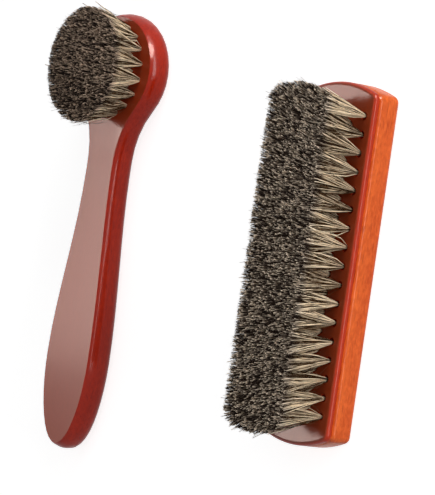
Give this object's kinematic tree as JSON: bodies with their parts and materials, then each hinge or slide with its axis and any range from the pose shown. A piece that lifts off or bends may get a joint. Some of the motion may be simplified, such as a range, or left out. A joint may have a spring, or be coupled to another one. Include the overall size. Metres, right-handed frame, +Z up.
{
  "type": "shoe shine brush set",
  "caption": "Rectangular horsehair shine brush with a two-board lacquered block, and a round horsehair dauber on a paddle handle, both lying on their backs.",
  "frame": {"origin": "middle of the shine brush's flat back, which lies on the surface that the set rests on", "axes": "+Z up, the way the hair points; +Y along both brushes, from the dauber's grip towards its head; +X across, from the dauber to the shine brush"},
  "size_m": [0.23, 0.2082, 0.0383],
  "materials": {
    "back_wood": "clear gloss lacquer over orange-red stain, fine open grain",
    "tuft_wood": "clear gloss lacquer over red-brown stain",
    "brush_hair": "horsehair, tan at the root and grey-black at the tips",
    "wire": "plain drawn wire",
    "dauber_wood": "clear gloss lacquer over red-brown stain",
    "dauber_hair": "horsehair, tan at the root and grey-black at the tips",
    "staple": "plain flat wire"
  },
  "bodies": {
    "root": {"back_board": "back_wood", "tuft_board": "tuft_wood", "tuft_row_1": "brush_hair", "tuft_row_2": "brush_hair", "tuft_row_3": "brush_hair", "tuft_row_4": "brush_hair", "tuft_row_5": "brush_hair", "draw_wires": "wire", "dauber_handle": "dauber_wood", "dauber_tufts": "dauber_hair", "dauber_anchors": "staple"}
  },
  "joints": []
}
